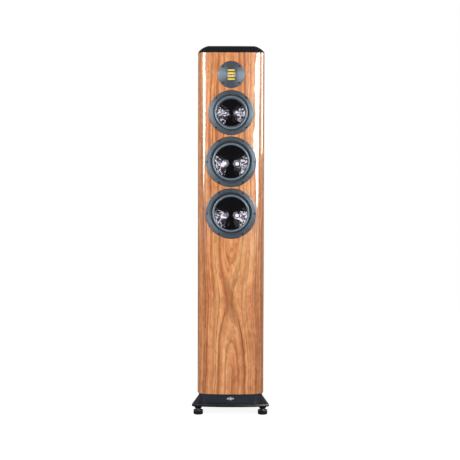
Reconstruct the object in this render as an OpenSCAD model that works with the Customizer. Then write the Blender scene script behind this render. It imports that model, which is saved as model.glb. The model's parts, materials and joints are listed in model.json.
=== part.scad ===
// Floorstanding loudspeaker: leaning three-way-plus tower on a plinth, a base plate and four levelling feet.
// The object faces -Y, +X is to its right as seen from the front, +Z is up, and the floor is at z = 0.

/* [Cabinet] */
// Width of the cabinet at its widest, across the front corners
cabinet_w = 230; // [226:1:234]
// Depth of the cabinet, measured square to the baffle
cabinet_d = 270; // [266:1:280]
// Length of the cabinet along its leaning axis, without the cap
cabinet_len = 1186; // [1180:1:1195]
// Angle by which the cabinet leans back
lean = 3; // [2:0.5:4]
// Radius of the gently curved front face in plan
front_arc = 450; // [400:10:500]
// Radius of the two front corners in plan
corner_r = 40; // [36:1:44]
// Radius of the two rear corners in plan
rear_r = 10; // [6:1:14]
// Angle by which each side closes in towards the rear
taper = 6.5; // [5:0.5:7]
// Thickness of the baffle on the centre line
baffle_t = 32; // [30:1:36]
// Thickness of the side, rear, top and bottom panels and of the braces
panel_t = 18; // [16:1:20]

/* [Top cap] */
// Radius of the rounded edge of the cap
cap_edge_r = 60; // [50:1:65]
// Slope of the cap's edge where it starts, at the cabinet
cap_slope_start = 52; // [48:1:56]
// Slope of the cap's edge where it meets the flat top
cap_slope_end = 13; // [10:1:16]
// Height of the shadow gap under the cap
cap_gap_h = 1.5; // [1:0.5:2]

/* [Base] */
// Height of the underside of the base plate above the floor
plate_z = 29.2; // [29:0.1:30]
// Thickness of the base plate
plate_t = 8.3; // [8:0.1:10]
// Width of the base plate across its front corners
plate_w = 268; // [264:1:272]
// Depth of the base plate
plate_d = 312; // [300:1:320]
// Distance from the front of the base plate back to the foot of the baffle
plate_lead = 24; // [20:1:28]
// Angle by which each side of the base plate closes in towards the rear
plate_taper = 7; // [6:0.5:8]
// Height of the plinth between base plate and cabinet
plinth_h = 32.3; // [30:0.1:36]
// Inset of the plinth from the cabinet all round
plinth_inset = 4; // [3:0.5:6]

/* [Feet] */
// Diameter of a foot pad
pad_d = 33; // [30:1:36]
// Height of a foot pad
pad_h = 16.7; // [15:0.1:17]
// Diameter of the threaded foot stud
stud_d = 12; // [10:1:12]
// Half distance between the front feet
front_foot_x = 112; // [108:1:114]
// Half distance between the rear feet
rear_foot_x = 86; // [80:1:90]

/* [Drivers] */
// Height of the lower woofer's centre along the leaning axis
lower_woofer_z = 630; // [628:1:632]
// Height of the upper woofer's centre along the leaning axis
upper_woofer_z = 809; // [807:1:811]
// Height of the midrange's centre along the leaning axis
midrange_z = 979; // [977:1:981]
// Height of the tweeter's centre along the leaning axis
tweeter_z = 1110; // [1108:1:1112]
// Outer diameter of a woofer's frame
woofer_d = 175; // [172:1:176]
// Outer diameter of the midrange's frame
midrange_d = 155; // [152:1:157]
// Outer diameter of the tweeter's faceplate
tweeter_d = 93; // [90:1:95]
// Depth below the baffle's centre line of the front of each driver's frame
flange_drop = 1.5; // [1:0.5:2]

/* [Rear] */
// Height of the lower port along the leaning axis
lower_port_z = 340; // [338:1:342]
// Height of the upper port along the leaning axis
upper_port_z = 480; // [478:1:482]
// Inner radius of a port tube
port_r = 31; // [29:1:32]
// Length of a port tube
port_len = 130; // [120:1:135]
// Height of the terminal plate's centre along the leaning axis
terminal_z = 170; // [165:1:175]
// Distance between the two binding posts of a pair
post_pitch_x = 38; // [30:1:40]
// Distance between the upper and the lower pair
post_pitch_z = 36; // [30:1:38]

/* [Hidden] */
$fn = 96;
arc_fn = 720;                                   // segments of the large arcs
slack = 1;                                      // how far a cutter runs past the face that it cuts
clear = 0.05;                                   // radial clearance of a running fit
hole_gap = 0.3;                                 // radial clearance round a screw's shank or a seated frame
tangent_bite = 0.001;                           // makes a corner's circle cross the lines that it is tangent to
head_gap = 0.15;                                // radial clearance round a screw's head

wood = [0.83, 0.58, 0.38];
lacquer = [0.17, 0.2, 0.25];
black = [0.1, 0.11, 0.12];
slate = [0.37, 0.42, 0.46];
steel = [0.62, 0.63, 0.65];
gold = [0.93, 0.8, 0.35];
copper = [0.75, 0.42, 0.25];
red = [0.7, 0.13, 0.13];
white = [0.9, 0.9, 0.88];
raw_board = [0.62, 0.5, 0.36];

// Heights of the level stack, and the foot of the baffle, with the origin at the middle of the footprint
cabinet_z = plate_z + plate_t + plinth_h;
overall_d = plate_lead + cabinet_d * cos(lean) + cabinet_len * sin(lean);
plate_y = -overall_d / 2;
baffle_y = plate_y + plate_lead;

// Where the side wall's straight run lies: x * cos(taper) + y * sin(taper) = wall_line
corner_x = cabinet_w / 2 - corner_r;
corner_y = front_arc - sqrt(pow(front_arc - corner_r, 2) - pow(corner_x, 2));
wall_line = corner_x * cos(taper) + corner_y * sin(taper) + corner_r;
inner_front_y = baffle_t;
inner_rear_y = cabinet_d - panel_t;
function wall_x(y, inset = 0) = (wall_line - inset - y * sin(taper)) / cos(taper);

// Woofer and midrange: frame radius, mouth radius, inner radius of the sloping ring, cone radius,
// frame thickness, cone depth, coil radius, magnet radius, depth of the basket's floor
WOOFER = [woofer_d / 2, 73.8, 70.4, 59.4, 7.5, 20, 19, 52, 52];
MIDRANGE = [midrange_d / 2, 64, 61.5, 49.5, 6.5, 14, 14, 42, 44];
function frame_r(d) = d[0];
function mouth_r(d) = d[1];
function ring_r(d) = d[2];
function cone_r(d) = d[3];
function frame_t(d) = d[4];
function cone_depth(d) = d[5];
function coil_r(d) = d[6];
function magnet_r(d) = d[7];
function floor_z(d) = -d[8];
function seat_y(thickness) = flange_drop + thickness;

skin_t = 1.2;                                   // thickness of a cone
rubber_t = 1;                                   // thickness of a surround
land_w = 2.6;                                   // width of the lip by which a surround is clamped
bowl_room = 8;                                  // how far a driver's hole in the baffle clears its surround
basket_lip = 3;                                 // thickness of the basket's ring behind the surround
basket_wall = 3;
spider_t = 0.8;
spider_waves = 4;
spider_amp = 1.3;
ledge_w = 6;                                    // width of the basket's ledge under the spider
coil_gap = 2.6;                                 // width of the magnetic gap outside the pole
former_t = 0.35;
winding_t = 1.4;
winding_h = 12;
top_plate_t = 6;
ferrite_h = 18;
back_plate_t = 8;
window_count = 6;

screw_head_r = 3;
screw_head_h = 2.6;
screw_shank_r = 1.8;
screw_len = 24;
screw_hex_r = 1.5;
woofer_screw_r = 81.7;
midrange_screw_r = 72.9;
tweeter_screw_r = 39.4;
terminal_screw_x = 49;
terminal_screw_z = 36;

tweeter_t = 6;
tweeter_hole_r = 34;
recess_w = 40;
recess_h = 46;
recess_depth = 2.5;
slot_w = 26;
slot_h = 5.6;
slot_rows = [-15.3, -5.3, 5.3, 15.3];
foil_pleats = 14;
foil_depth = 4;
foil_t = 0.4;

port_wall = 3;
port_flange = 14;
port_round = 5;                                 // radius of the rounded mouth
terminal_size = [112, 86];
terminal_hole = [84, 56];

bolt_x = 64;
bolt_y = 84;
bolt_r = 4;
plate_arc = 660;
plate_corner_r = 12;
plate_skin = 1;                                 // metal left above the blind holes for the studs
foot_inset = 28;                                // distance of the feet from the plate's front and rear edges
brace_rows = [255, 410, 537, 719];
shelf_rows = [900, 1058];
window = [56, 76];                              // size of each of a brace's four windows
window_bar = 16;
window_rows = [56, 148];
shelf_wires_x = [45, 57];
shelf_wires_y = 170;
chamber_depth = 186;                            // where the wall behind the midrange starts
wool = [108, 30, 128];
wire_r = 2.4;
board_w = 132;
board_t = 2;
board_y = baffle_y + 122;
spacer_h = 6;

post_x = post_pitch_x / 2;
post_z = post_pitch_z / 2;
post_rod_r = 3.5;
socket_r = 2;
socket_len = 18;
terminal_t = 4;
isolator_h = 3;
link_t = 1;
washer_t = 1.2;
knob_h = 20;
knob_r = 7.5;
washer_z = terminal_t + isolator_h + link_t;
knob_z = washer_z + washer_t;
thread_h = 14;                                  // length of the knob's thread on the rod
rod_tip = knob_z + thread_h;
rod_tail = 12;                                  // length of the rod inside the cabinet
plug_hole_r = 2.6;
washer_r = 6.5;
collar_r = 7;

foot_front_y = plate_y + foot_inset;
foot_rear_y = plate_y + plate_d - foot_inset;
stud_top = 32.5;
stud_foot = 6;
collar_h = 8.3;
collar_top_r = 14.5;
collar_foot_r = 11;

// Each route's points are in the leaning frame
wire_routes = [
    [[-45, 182, 49.5], [-45, 190, 60], [-45, 190, 600], [-74, 150, 630], [-74, 62, 630], [-65, 48, 630]],
    [[-57, 182, 49.5], [-57, 190, 60], [-57, 190, 782], [-74, 150, 810], [-74, 62, 809], [-65, 48, 809]],
    [[33, 182, 49.5], [45, 170, 66], [45, 170, 950], [60, 120, 979], [62, 62, 979], [56, 44, 979]],
    [[53, 182, 49.5], [57, 170, 66], [57, 170, 1080], [30, 100, 1110], [0, 60, 1110], [0, 36, 1110]],
    [[-19, 240, 152], [-19, 222, 146], [-19, 182, 60], [-19, 182, 49.5]],
    [[19, 240, 152], [19, 222, 146], [19, 182, 60], [19, 182, 49.5]]
];

// Leaning frame: x as before, y back from the front centre line, z along the leaning axis
module in_cabinet() {
    translate([0, baffle_y, cabinet_z]) rotate([-lean, 0, 0]) children();
}

// Driver frame: z forwards out of the baffle, with z = 0 at the seat behind the frame's flange
module on_baffle(height, thickness) {
    in_cabinet() translate([0, seat_y(thickness), height]) rotate([90, 0, 0]) children();
}

// Rear frame: z backwards out of the rear panel
module on_rear(x, height) {
    in_cabinet() translate([x, cabinet_d, height]) rotate([-90, 0, 0]) children();
}

// Plan outline with an arched front, round corners and sides that close in, shrunk all round by inset
module plan(w, d, arc, r, back_r, side_taper, inset = 0) {
    cr = r - inset;
    ar = arc - inset;
    rr = max(back_r - inset, 1);
    cx = w / 2 - r;
    cy = arc - sqrt(pow(arc - r, 2) - cx * cx);
    normal = [cos(side_taper), sin(side_taper)];
    line = cx * normal.x + cy * normal.y + cr;
    ey = d - inset - rr;
    ex = (line - rr - ey * normal.y) / normal.x;
    front = [cx * ar / (ar - cr), arc + (cy - arc) * ar / (ar - cr)];
    side = [cx, cy] + cr * normal;
    back = [ex, ey] + rr * normal;
    polygon([
        [-front.x, front.y], front, side, back, [ex, ey + rr],
        [-ex, ey + rr], [-back.x, back.y], [-side.x, side.y]
    ]);
    for (s = [-1, 1]) {
        translate([s * cx, cy]) circle(cr + tangent_bite);
        translate([s * ex, ey]) circle(rr + tangent_bite);
    }
    intersection() {
        translate([0, arc]) circle(ar, $fn = arc_fn);
        translate([-front.x, 0]) square([2 * front.x, front.y + corner_r / 4]);
    }
}

module cabinet_plan(inset = 0) {
    plan(cabinet_w, cabinet_d, front_arc, corner_r, rear_r, taper, inset);
}

// The space between the panels, in plan, from y = from to y = to
module inner_plan(from = inner_front_y, to = inner_rear_y) {
    polygon([
        [-wall_x(from, panel_t), from], [wall_x(from, panel_t), from],
        [wall_x(to, panel_t), to], [-wall_x(to, panel_t), to]
    ]);
}

// Keeps what stands above the level top of the plinth
module above_plinth() {
    intersection() {
        children();
        translate([-cabinet_w, -cabinet_d, cabinet_z]) cube([2 * cabinet_w, 3 * cabinet_d, 2 * cabinet_len]);
    }
}

module upright(z_from = -slack, z_to = cabinet_len) {
    in_cabinet() translate([0, 0, z_from]) linear_extrude(z_to - z_from) children();
}

module screw_circle(count, radius, start) {
    for (i = [0 : count - 1]) rotate(start + i * 360 / count) translate([radius, 0, 0]) children();
}

// ---- Cabinet ----

module front_baffle() {
    color(wood) difference() {
        above_plinth() upright() intersection() {
            cabinet_plan();
            translate([-cabinet_w, -slack]) square([2 * cabinet_w, baffle_t + slack]);
        }
        for (h = [lower_woofer_z, upper_woofer_z]) driver_hole(h, WOOFER);
        driver_hole(midrange_z, MIDRANGE);
        on_baffle(tweeter_z, tweeter_t) {
            cylinder(h = 2 * baffle_t, r = tweeter_d / 2 + hole_gap);
            translate([0, 0, -2 * baffle_t]) cylinder(h = 4 * baffle_t, r = tweeter_hole_r);
        }
    }
}

module driver_hole(height, d) {
    on_baffle(height, frame_t(d)) {
        cylinder(h = 2 * baffle_t, r = frame_r(d) + hole_gap);
        translate([0, 0, -2 * baffle_t]) cylinder(h = 4 * baffle_t, r = ring_r(d) + bowl_room);
    }
}

module side_panel(side) {
    color(wood) above_plinth() upright() difference() {
        intersection() {
            cabinet_plan();
            translate([side > 0 ? 0 : -cabinet_w, baffle_t]) square([cabinet_w, cabinet_d]);
        }
        inner_plan(baffle_t - slack, cabinet_d + slack);
    }
}

module rear_panel() {
    color(wood) difference() {
        above_plinth() upright() inner_plan(inner_rear_y, cabinet_d);
        for (h = [lower_port_z, upper_port_z])
            on_rear(0, h) translate([0, 0, -2 * panel_t]) cylinder(h = 3 * panel_t, r = port_r + port_wall);
        on_rear(0, terminal_z) translate([-terminal_hole.x / 2, -terminal_hole.y / 2, -2 * panel_t])
            cube([terminal_hole.x, terminal_hole.y, 3 * panel_t]);
    }
}

module top_panel() {
    color(raw_board) upright(cabinet_len - panel_t, cabinet_len) inner_plan();
}

module bottom_panel() {
    color(raw_board) intersection() {
        upright(-slack, 3 * panel_t) inner_plan();
        translate([-cabinet_w, -cabinet_d, cabinet_z]) cube([2 * cabinet_w, 2 * cabinet_d, panel_t]);
    }
}

// Four window braces, and two shelves that close the midrange's chamber and pass its wires
module cabinet_braces() {
    color(raw_board) {
        for (h = brace_rows) upright(h - panel_t / 2, h + panel_t / 2) difference() {
            inner_plan();
            for (s = [-1, 1], y = window_rows)
                translate([s * (window.x + window_bar) / 2 - window.x / 2, y]) square(window);
        }
        for (h = shelf_rows) upright(h - panel_t / 2, h + panel_t / 2) difference() {
            inner_plan();
            for (x = shelf_wires_x) translate([x, shelf_wires_y]) circle(wire_r + 1.6);
        }
    }
}

module mid_chamber_wall() {
    from = shelf_rows[0] + panel_t / 2;
    to = shelf_rows[1] - panel_t / 2;
    color(raw_board) upright(from, to) inner_plan(chamber_depth, chamber_depth + panel_t);
}

// Two pads of wool against the rear panel, behind the woofers
module damping_wool() {
    for (h = [lower_woofer_z, upper_woofer_z])
        color([0.86, 0.85, 0.8]) in_cabinet()
            translate([-wool.x / 2, inner_rear_y - wool.y, h - wool.z / 2]) cube(wool);
}

module top_cap() {
    steps = 5;
    start_gap = 2;
    color(black) in_cabinet() {
        translate([0, 0, cabinet_len]) linear_extrude(cap_gap_h) cabinet_plan(start_gap);
        hull() for (i = [0 : steps]) {
            slope = cap_slope_start + (cap_slope_end - cap_slope_start) * i / steps;
            inset = cap_edge_r * (sin(cap_slope_start) - sin(slope));
            rise = cap_edge_r * (cos(slope) - cos(cap_slope_start));
            translate([0, 0, cabinet_len + cap_gap_h + rise]) linear_extrude(0.01) cabinet_plan(inset);
        }
    }
}

// ---- Base ----

module plinth() {
    color(lacquer) translate([0, baffle_y, plate_z + plate_t]) linear_extrude(plinth_h)
        cabinet_plan(plinth_inset);
}

// A row of five rounded bars, as a sound level mark
module plinth_badge() {
    heights = [5, 9, 12, 9, 5];
    bar_w = 3;
    pitch = 5.2;
    mark_z = plate_z + plate_t + plinth_h / 2 + 0.5;
    color(white) for (i = [0 : 4]) translate([(i - 2) * pitch, baffle_y + plinth_inset, mark_z])
        rotate([90, 0, 0]) linear_extrude(0.8) {
            square([bar_w, heights[i] - bar_w], center = true);
            for (s = [-1, 1]) translate([0, s * (heights[i] - bar_w) / 2]) circle(bar_w / 2);
        }
}

module base_plate() {
    color(black) difference() {
        translate([0, plate_y, plate_z]) linear_extrude(plate_t)
            plan(plate_w, plate_d, plate_arc, plate_corner_r, plate_corner_r, plate_taper);
        each_foot() translate([0, 0, plate_z - slack])
            cylinder(h = plate_t + slack - plate_skin, r = stud_d / 2 + clear);
        each_bolt() cylinder(h = plate_z + plate_t + slack, r = bolt_r + hole_gap);
    }
}

module each_bolt() {
    for (x = [-bolt_x, bolt_x], y = [-bolt_y, bolt_y]) translate([x, y, 0]) children();
}

module base_bolts() {
    head_h = 5;
    bite = 12;
    color(steel) each_bolt() translate([0, 0, plate_z - head_h]) difference() {
        union() {
            cylinder(h = head_h, r = 6.5);
            cylinder(h = head_h + plate_t + plinth_h + bite, r = bolt_r);
        }
        translate([0, 0, -slack]) cylinder(h = 3 + slack, r = 3, $fn = 6);
    }
}

function foot_at(i) = [
    (i % 2 == 0 ? -1 : 1) * (i < 2 ? front_foot_x : rear_foot_x),
    i < 2 ? foot_front_y : foot_rear_y, 0
];

module each_foot() {
    for (i = [0 : 3]) translate(foot_at(i)) children();
}

module foot_collars() {
    color(black) each_foot() translate([0, 0, plate_z - collar_h]) difference() {
        cylinder(h = collar_h, r1 = collar_foot_r, r2 = collar_top_r);
        translate([0, 0, -slack]) cylinder(h = collar_h + 2 * slack, r = stud_d / 2 + clear);
    }
}

module foot_pad(i) {
    round_r = 3;
    color(black) translate(foot_at(i)) difference() {
        rotate_extrude() {
            square([pad_d / 2 - round_r, pad_h]);
            translate([0, round_r]) square([pad_d / 2, pad_h - 2 * round_r]);
            for (z = [round_r, pad_h - round_r]) translate([pad_d / 2 - round_r, z]) circle(round_r);
        }
        translate([0, 0, stud_foot]) cylinder(h = pad_h, r = stud_d / 2 + clear);
    }
}

module foot_stud(i) {
    color(steel) translate(foot_at(i)) translate([0, 0, stud_foot]) {
        cylinder(h = stud_top - stud_foot - 1, r = stud_d / 2);
        translate([0, 0, stud_top - stud_foot - 1]) cylinder(h = 1, r1 = stud_d / 2, r2 = stud_d / 2 - 1);
    }
}

// ---- Woofers and midrange ----

// Cast frame: flange, sloping mouth ring, windowed bowl, ledge for the spider and floor ring
module basket(d, screws, screw_radius, first_screw) {
    bowl_top = ring_r(d) + land_w;
    floor_r = magnet_r(d) - 2;
    ledge_z = spider_z(d);
    color(slate) difference() {
        rotate_extrude()
            polygon([
                [ring_r(d) - 1, -basket_lip], [ring_r(d) - 1, 0], [bowl_top, 0], [bowl_top, rubber_t],
                [ring_r(d), rubber_t], [ring_r(d), rubber_t + 0.6], [mouth_r(d), frame_t(d)],
                [frame_r(d) - 1.5, frame_t(d)], [frame_r(d), frame_t(d) - 1.5], [frame_r(d), 1],
                [frame_r(d) - 1, 0], [bowl_top + 3, 0], [bowl_top + 3, -basket_lip],
                [floor_r, floor_z(d)], [coil_r(d) + 5, floor_z(d)], [coil_r(d) + 5, floor_z(d) + basket_wall],
                [floor_r - basket_wall, floor_z(d) + basket_wall],
                [floor_r, ledge_z - 2], [ledge_out(d) - ledge_w, ledge_z - 2],
                [ledge_out(d) - ledge_w, ledge_z], [ledge_out(d), ledge_z],
                [bowl_top - basket_wall, -basket_lip]
            ]);
        for (a = [0 : window_count - 1]) rotate(a * 360 / window_count) {
            window_h = -ledge_z - basket_lip - 6;
            translate([ledge_out(d) - 12, -frame_r(d) / 6, ledge_z + 4])
                cube([frame_r(d), frame_r(d) / 3, window_h]);
        }
        screw_circle(screws, screw_radius, first_screw) screw_hole(frame_t(d));
    }
}

function spider_z(d) = floor_z(d) * 0.66;
// Radius at which the bowl's inner wall meets the ledge
function ledge_out(d) = magnet_r(d) - 2 - basket_wall
    + (ring_r(d) + land_w - magnet_r(d) + 2) * (spider_z(d) - floor_z(d)) / (-basket_lip - floor_z(d));

// Half roll of rubber between two flat lips
module surround(d) {
    roll_r = (ring_r(d) - cone_r(d)) / 2;
    mid_r = (ring_r(d) + cone_r(d)) / 2;
    color([0.08, 0.08, 0.09]) rotate_extrude() {
        intersection() {
            translate([mid_r, 0]) difference() {
                circle(roll_r);
                circle(roll_r - rubber_t);
            }
            translate([mid_r - roll_r, 0]) square([2 * roll_r, roll_r]);
        }
        translate([ring_r(d) - rubber_t, 0]) square([land_w + rubber_t, rubber_t]);
        translate([cone_r(d) - land_w, 0]) square([land_w + rubber_t, rubber_t]);
    }
}

module cone(d) {
    color([0.06, 0.06, 0.08]) rotate_extrude()
        polygon([
            [0, -cone_depth(d)], [cone_r(d) - land_w, 0], [cone_r(d), 0], [cone_r(d), -skin_t],
            [cone_r(d) - land_w, -skin_t], [0, -cone_depth(d) - skin_t]
        ]);
}

// Pleated disc that centres the coil
module spider(d) {
    steps = spider_waves * 8;
    r_in = coil_r(d) + clear;
    r_out = ledge_out(d) - 1;
    top = [for (i = [0 : steps]) [
        r_in + (r_out - ledge_w - r_in) * i / steps,
        spider_z(d) + spider_t + spider_amp * (1 - cos(360 * spider_waves * i / steps)) / 2
    ]];
    bottom = [for (i = [steps : -1 : 0]) top[i] - [0, spider_t]];
    color([0.85, 0.68, 0.3]) rotate_extrude()
        polygon(concat(
            top, [[r_out, spider_z(d) + spider_t], [r_out, spider_z(d)]], bottom
        ));
}

// Former tube glued to the back of the cone, with the winding at its end
module coil(d) {
    top = -skin_t - cone_depth(d) * (1 - (coil_r(d) - former_t) / (cone_r(d) - land_w)) - 0.02;
    end = floor_z(d) - winding_h + 3;
    color(copper) rotate_extrude() {
        translate([coil_r(d) - former_t, end]) square([former_t, top - end]);
        translate([coil_r(d) - former_t, end]) square([former_t + winding_t, winding_h]);
    }
}

// Steel plates, ferrite ring and vented pole
module magnet(d) {
    gap_in = coil_r(d) - former_t - 1;
    gap_out = gap_in + coil_gap + winding_t;
    low = floor_z(d) - top_plate_t;
    back = low - ferrite_h;
    color([0.25, 0.25, 0.27]) rotate_extrude()
        polygon([
            [6, back - back_plate_t], [magnet_r(d) - 2, back - back_plate_t], [magnet_r(d) - 2, back],
            [magnet_r(d), back], [magnet_r(d), low], [magnet_r(d) - 2, low], [magnet_r(d) - 2, floor_z(d)],
            [gap_out, floor_z(d)], [gap_out, low], [gap_out + 4, low], [gap_out + 4, back],
            [gap_in, back], [gap_in, floor_z(d)], [6, floor_z(d)]
        ]);
}

// ---- Tweeter ----

module slot_outline(w, h) {
    square([w - h, h], center = true);
    for (s = [-1, 1]) translate([s * (w - h) / 2, 0]) circle(h / 2);
}

module tweeter_faceplate() {
    color(slate) on_baffle(tweeter_z, tweeter_t) difference() {
        union() {
            cylinder(h = tweeter_t - 1, r = tweeter_d / 2);
            translate([0, 0, tweeter_t - 1]) cylinder(h = 1, r1 = tweeter_d / 2, r2 = tweeter_d / 2 - 1);
        }
        translate([0, 0, tweeter_t - recess_depth]) linear_extrude(recess_depth + slack)
            rotate(90) slot_outline(recess_h, recess_w);
        for (y = slot_rows) translate([0, y, -slack]) linear_extrude(tweeter_t + 2 * slack)
            slot_outline(slot_w, slot_h);
        screw_circle(4, tweeter_screw_r, 45) screw_hole(tweeter_t);
    }
}

// Foil folded into upright pleats
module tweeter_diaphragm() {
    pleat_w = slot_w / foil_pleats;
    front = [for (i = [0 : 2 * foil_pleats])
        [-slot_w / 2 + i * pleat_w / 2, i % 2 == 0 ? -foil_depth : -foil_t]];
    back = [for (i = [2 * foil_pleats : -1 : 0]) front[i] - [0, foil_t]];
    color(gold) on_baffle(tweeter_z, tweeter_t) translate([0, -recess_h / 2, 0]) rotate([-90, 0, 0])
        linear_extrude(recess_h) mirror([0, 1]) polygon(concat(front, back));
}

// Two magnet bars and a yoke around the foil
module tweeter_magnet() {
    frame_w = 46;
    frame_h = 46;
    hollow_w = slot_w + 1;
    yoke_z = -24;
    color([0.25, 0.25, 0.27]) on_baffle(tweeter_z, tweeter_t) difference() {
        translate([-frame_w / 2, -frame_h / 2, yoke_z]) cube([frame_w, frame_h, -yoke_z]);
        translate([-hollow_w / 2, -frame_h / 2 - slack, -foil_depth - 6])
            cube([hollow_w, frame_h + 2 * slack, foil_depth + 6 + slack]);
    }
}

// ---- Fasteners ----

// Counterbored hole through a plate of the given thickness
module screw_hole(thickness) {
    translate([0, 0, -slack]) cylinder(h = thickness + 2 * slack, r = screw_shank_r + hole_gap);
    translate([0, 0, thickness - screw_head_h])
        cylinder(h = screw_head_h + slack, r = screw_head_r + head_gap);
}

module screw(thickness) {
    difference() {
        union() {
            translate([0, 0, thickness - screw_head_h]) cylinder(h = screw_head_h - 0.3, r = screw_head_r);
            translate([0, 0, thickness - screw_len]) cylinder(h = screw_len - 1, r = screw_shank_r);
        }
        translate([0, 0, thickness - 1.8]) cylinder(h = 3, r = screw_hex_r, $fn = 6);
    }
}

module mounting_screws() {
    color(black) {
        for (h = [lower_woofer_z, upper_woofer_z]) on_baffle(h, frame_t(WOOFER))
            screw_circle(6, woofer_screw_r, 0) screw(frame_t(WOOFER));
        on_baffle(midrange_z, frame_t(MIDRANGE))
            screw_circle(4, midrange_screw_r, 45) screw(frame_t(MIDRANGE));
        on_baffle(tweeter_z, tweeter_t) screw_circle(4, tweeter_screw_r, 45) screw(tweeter_t);
        for (x = [-1, 1], z = [-1, 1])
            on_rear(x * terminal_screw_x, terminal_z + z * terminal_screw_z) screw(terminal_t);
    }
}

// ---- Rear ----

module port_tubes() {
    color(black) for (h = [lower_port_z, upper_port_z]) on_rear(0, h) rotate_extrude() difference() {
        union() {
            translate([port_r, -port_len]) square([port_wall, port_len]);
            translate([port_r, 0]) square([port_flange, port_wall]);
            translate([port_r, -port_len]) square([port_flange / 2, port_wall]);
        }
        translate([port_r, port_wall - port_round]) difference() {
            translate([-slack, 0]) square(port_round + slack);
            translate([port_round, 0]) circle(port_round);
        }
    }
}

function post_at(i) = [(i % 2 == 0 ? -1 : 1) * post_x, terminal_z + (i < 2 ? 1 : -1) * post_z];

module terminal_plate() {
    color(black) on_rear(0, terminal_z) difference() {
        translate([-terminal_size.x / 2, -terminal_size.y / 2, 0])
            cube([terminal_size.x, terminal_size.y, terminal_t]);
        for (i = [0 : 3]) translate([post_at(i).x, terminal_z - post_at(i).y, -slack])
            cylinder(h = terminal_t + 2 * slack, r = post_rod_r + hole_gap);
        for (x = [-1, 1], z = [-1, 1])
            translate([x * terminal_screw_x, z * terminal_screw_z, 0]) screw_hole(terminal_t);
    }
}

// Hollow threaded rods with a collar on each side of the terminal plate
module post_studs() {
    color(gold) for (i = [0 : 3]) on_rear(post_at(i).x, post_at(i).y) difference() {
        union() {
            translate([0, 0, -rod_tail]) cylinder(h = rod_tip + rod_tail, r = post_rod_r);
            translate([0, 0, terminal_t]) cylinder(h = isolator_h, r = collar_r);
            translate([0, 0, -4]) cylinder(h = 4, r = 6, $fn = 6);
        }
        translate([0, 0, rod_tip - socket_len]) cylinder(h = socket_len + slack, r = socket_r);
    }
}

module jumper_links() {
    link_w = 9;
    color(gold) for (x = [-1, 1]) on_rear(x * post_x, terminal_z) translate([0, 0, terminal_t + isolator_h])
        linear_extrude(link_t) difference() {
            union() {
                square([link_w, post_pitch_z], center = true);
                for (s = [-1, 1]) translate([0, s * post_z]) circle(link_w / 2 + 1.5);
            }
            for (s = [-1, 1]) translate([0, s * post_z]) circle(post_rod_r + hole_gap);
        }
}

module post_washer(i) {
    color(gold) on_rear(post_at(i).x, post_at(i).y) translate([0, 0, washer_z]) difference() {
        cylinder(h = washer_t, r = washer_r);
        translate([0, 0, -slack]) cylinder(h = washer_t + 2 * slack, r = post_rod_r + clear);
    }
}

// Turned nut with a fluted grip and a hole for the plug
module post_knob(i) {
    flutes = 10;
    neck_h = 4;
    bevel = 1;
    grip = i % 2 == 0 ? black : red;
    color(grip) on_rear(post_at(i).x, post_at(i).y) translate([0, 0, knob_z]) difference() {
        union() {
            cylinder(h = neck_h, r = knob_r - bevel);
            translate([0, 0, neck_h]) cylinder(h = knob_h - neck_h - bevel, r = knob_r);
            translate([0, 0, knob_h - bevel]) cylinder(h = bevel, r1 = knob_r, r2 = knob_r - bevel);
        }
        translate([0, 0, -slack]) cylinder(h = thread_h + hole_gap + slack, r = post_rod_r + clear);
        cylinder(h = knob_h + slack, r = plug_hole_r);
        for (a = [0 : flutes - 1]) rotate(a * 360 / flutes) translate([knob_r + 0.4, 0, neck_h + 2])
            cylinder(h = knob_h - 2 * neck_h - 2, r = 1.2, $fn = 24);
    }
}

// ---- Crossover and wiring ----

module crossover_board() {
    spacing = board_w / 2 - 8;
    color([0.13, 0.35, 0.2]) translate([0, board_y, cabinet_z + panel_t]) {
        translate([-board_w / 2, -board_w / 2, spacer_h]) cube([board_w, board_w, board_t]);
        for (x = [-spacing, spacing], y = [-spacing, spacing])
            translate([x, y, 0]) cylinder(h = spacer_h, r = 4);
    }
}

// Air-core inductors, film capacitors, resistors and a terminal strip
module crossover_parts() {
    coils = [[-38, -36, 24], [38, -36, 24], [-42, 16, 18]];     // x, y and radius of each inductor
    coil_h = 20;
    can_rows = [-2, 18, 36];
    can_r = 8;
    can_len = 48;
    resistor = [8, 40, 8];
    strip = [120, 10, 12];
    translate([0, board_y, cabinet_z + panel_t + spacer_h + board_t]) {
        color(copper) for (p = coils) translate([p.x, p.y, 0]) difference() {
            cylinder(h = coil_h, r = p.z);
            translate([0, 0, -slack]) cylinder(h = coil_h + 2 * slack, r = p.z / 2);
        }
        color(gold) for (y = can_rows)
            translate([4, y, can_r + 1]) rotate([0, 90, 0]) cylinder(h = can_len, r = can_r);
        color(white) for (x = [-10, 2]) translate([x, -56, 0]) cube(resistor);
        color(black) translate([-strip.x / 2, 54, 0]) cube(strip);
    }
}

module rod_between(a, b, r) {
    run = b - a;
    translate(a) rotate([0, acos(run.z / norm(run)), atan2(run.y, run.x)])
        cylinder(h = norm(run), r = r, $fn = 24);
}

module internal_wiring() {
    color([0.15, 0.15, 0.5]) in_cabinet() for (route = wire_routes) {
        for (i = [0 : len(route) - 2]) rod_between(route[i], route[i + 1], wire_r);
        for (i = [1 : len(route) - 2]) translate(route[i]) rotate([40, 25, 10]) sphere(wire_r + 0.5, $fn = 24);
    }
}

module woofer_basket() {
    basket(WOOFER, 6, woofer_screw_r, 0);
}

module midrange_basket() {
    basket(MIDRANGE, 4, midrange_screw_r, 45);
}

module at_lower_woofer() {
    on_baffle(lower_woofer_z, frame_t(WOOFER)) children();
}

module at_upper_woofer() {
    on_baffle(upper_woofer_z, frame_t(WOOFER)) children();
}

module at_midrange() {
    on_baffle(midrange_z, frame_t(MIDRANGE)) children();
}

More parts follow.
